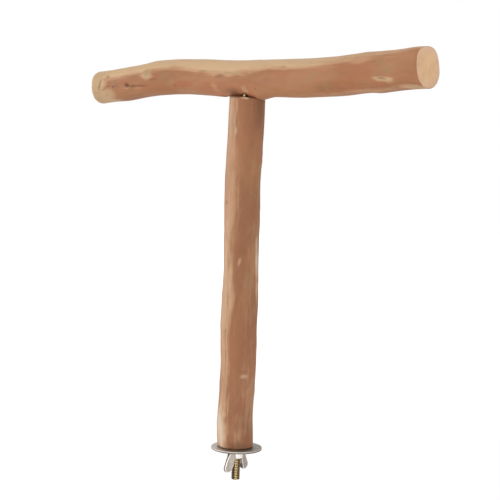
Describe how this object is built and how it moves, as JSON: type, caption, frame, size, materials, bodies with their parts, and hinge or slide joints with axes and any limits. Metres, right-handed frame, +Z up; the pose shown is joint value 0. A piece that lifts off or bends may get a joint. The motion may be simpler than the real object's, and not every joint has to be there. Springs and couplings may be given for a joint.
{
  "type": "bird perch",
  "caption": "Clamp-on T perch: a natural branch screwed crosswise on a branch post, with a stud, wide washer and wing nut at the foot to clamp it to cage bars.",
  "frame": {"origin": "centre of the stud where it leaves the post's foot, on the foot's sawn face, which bears on the cage bars or the washer", "axes": "+Z up the post from its foot, +X along the arm towards its raised end, +Y across the arm; the stud runs down -Z"},
  "size_m": [0.2974, 0.038, 0.3311],
  "materials": {
    "arm_wood": "natural branch, bark peeled, matte",
    "post_wood": "natural branch, bark peeled, matte",
    "yellow_zinc": "yellow zinc plated, rolled thread",
    "bright_zinc": "bright zinc plated, lightly tumbled"
  },
  "bodies": {
    "post": {"upright_post": "post_wood", "hanger_bolt": "yellow_zinc"},
    "joint_screw": {"joint_screw": "yellow_zinc"},
    "arm": {"perch_arm": "arm_wood"},
    "washer": {"fender_washer": "bright_zinc"},
    "wing_nut": {"wing_nut": "bright_zinc"}
  },
  "joints": [
    {"name": "arm_lift", "type": "slide", "parent": "post", "child": "joint_screw", "axis": [0, 0, 1], "range_m": [0, 0.00127]},
    {"name": "arm_turn", "type": "hinge", "parent": "joint_screw", "child": "arm", "pos_m": [-0.0038, 0, 0.2625], "axis": [0, 0, 1], "range_deg": [0, 180]},
    {"name": "nut_travel", "type": "slide", "parent": "post", "child": "washer", "axis": [0, 0, -1], "range_m": [0, 0.01524]},
    {"name": "nut_turn", "type": "hinge", "parent": "washer", "child": "wing_nut", "pos_m": [0, 0, 0], "axis": [0, 0, -1], "range_deg": [0, 4320]}
  ],
  "couplings": [
    {"joint": "arm_lift", "follows": "arm_turn", "m_per_rad": 0.00040425},
    {"joint": "nut_turn", "follows": "nut_travel", "rad_per_m": 4947.4}
  ]
}
